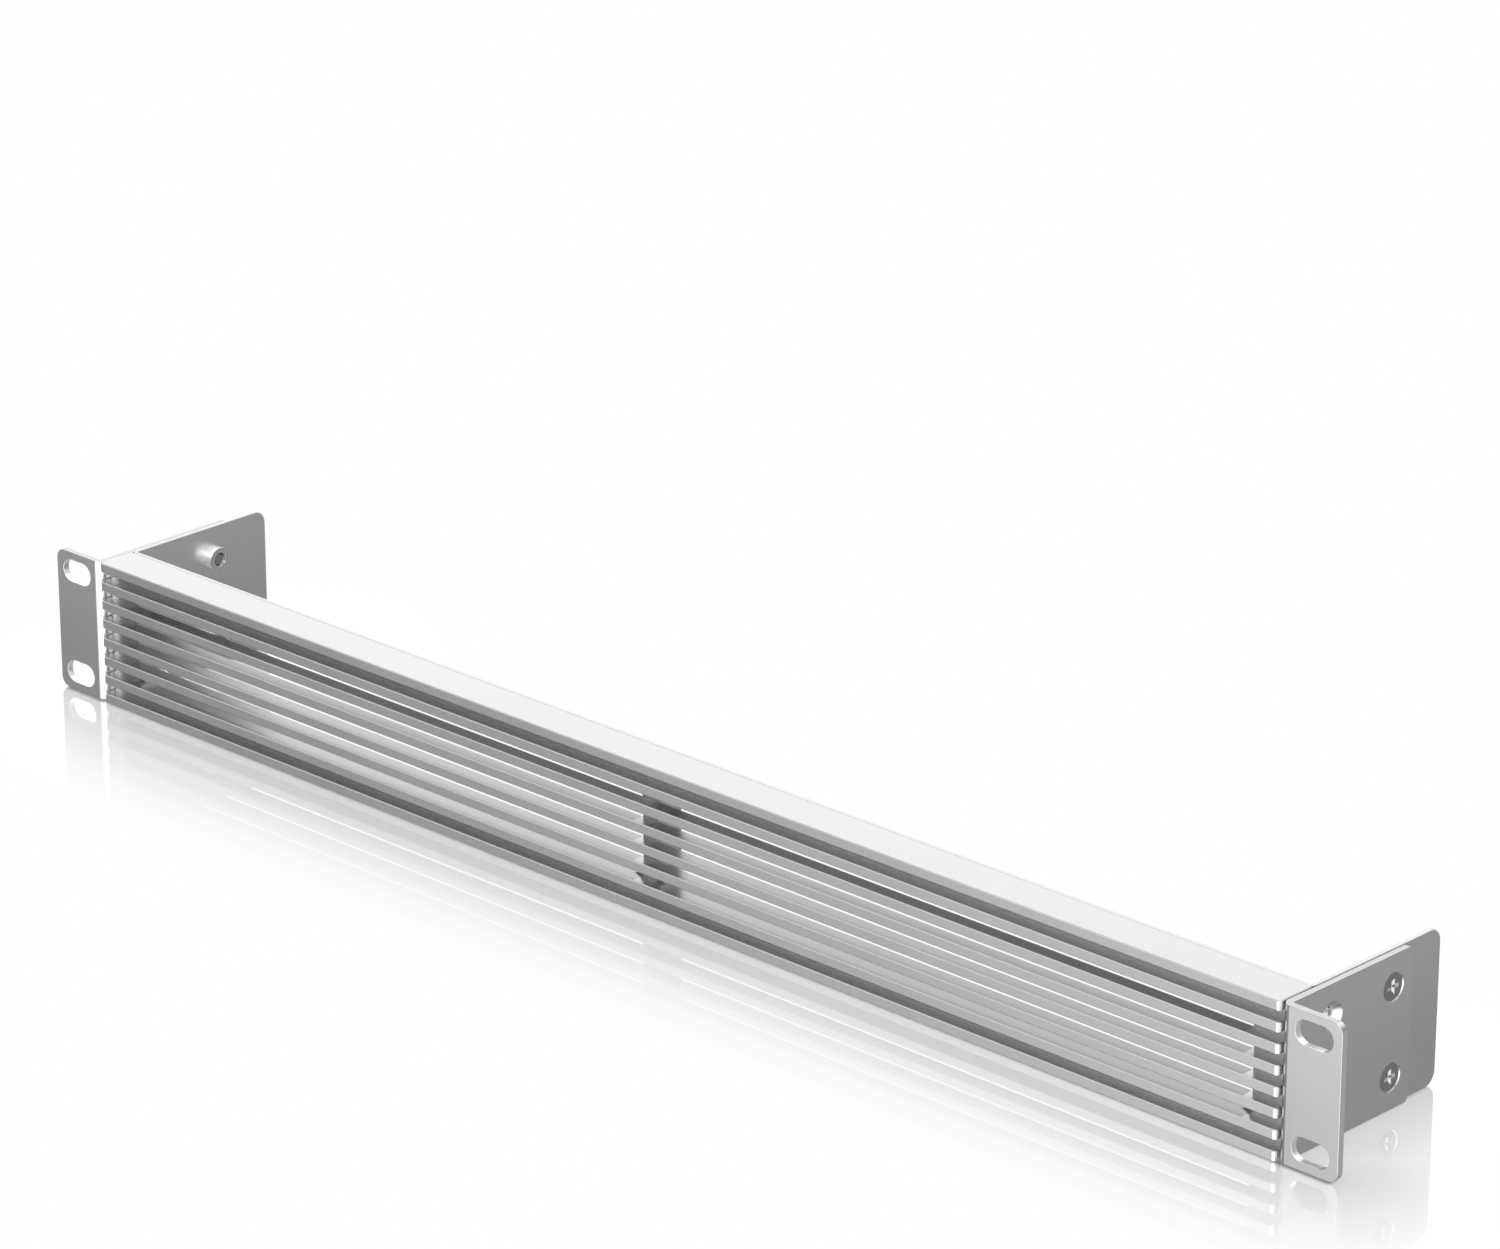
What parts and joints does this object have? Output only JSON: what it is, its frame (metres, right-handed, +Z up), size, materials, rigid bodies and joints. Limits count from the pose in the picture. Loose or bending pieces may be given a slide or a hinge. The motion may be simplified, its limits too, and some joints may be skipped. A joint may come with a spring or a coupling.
{
  "type": "vented blanking panel",
  "caption": "One-unit 19-inch rack blanking panel: a machined slatted aluminium grille on a U-shaped sheet frame, with screwed angle brackets whose slotted ears bolt to the rack posts",
  "frame": {"origin": "Middle of the four rack slots, on the back face of the ears, where the panel seats on the rack posts", "axes": "+X to the right of someone who faces the panel, +Y back into the rack, +Z up"},
  "size_m": [0.4826, 0.0638, 0.0438],
  "materials": {
    "grille_aluminium": "fine satin anodised, natural silver",
    "frame_paint": "satin silver powder coat on sheet steel",
    "bracket_paint": "satin silver powder coat on sheet steel",
    "bracket_screw_steel": "dark nickel plated steel",
    "nut_steel": "zinc plated turned steel",
    "grille_screw_steel": "zinc plated steel"
  },
  "bodies": {
    "root": {"front_grille": "grille_aluminium", "rear_frame": "frame_paint", "left_bracket": "bracket_paint", "right_bracket": "bracket_paint", "left_bracket_screw_lower": "bracket_screw_steel", "left_bracket_screw_upper": "bracket_screw_steel", "right_bracket_screw_lower": "bracket_screw_steel", "right_bracket_screw_upper": "bracket_screw_steel", "left_captive_nut_front_lower": "nut_steel", "left_captive_nut_front_upper": "nut_steel", "left_captive_nut_rear_lower": "nut_steel", "left_captive_nut_rear_upper": "nut_steel", "right_captive_nut_front_lower": "nut_steel", "right_captive_nut_front_upper": "nut_steel", "right_captive_nut_rear_lower": "nut_steel", "right_captive_nut_rear_upper": "nut_steel", "grille_screw_1_lower": "grille_screw_steel", "grille_screw_1_upper": "grille_screw_steel", "grille_screw_2_lower": "grille_screw_steel", "grille_screw_2_upper": "grille_screw_steel", "grille_screw_3_lower": "grille_screw_steel", "grille_screw_3_upper": "grille_screw_steel"}
  },
  "joints": []
}
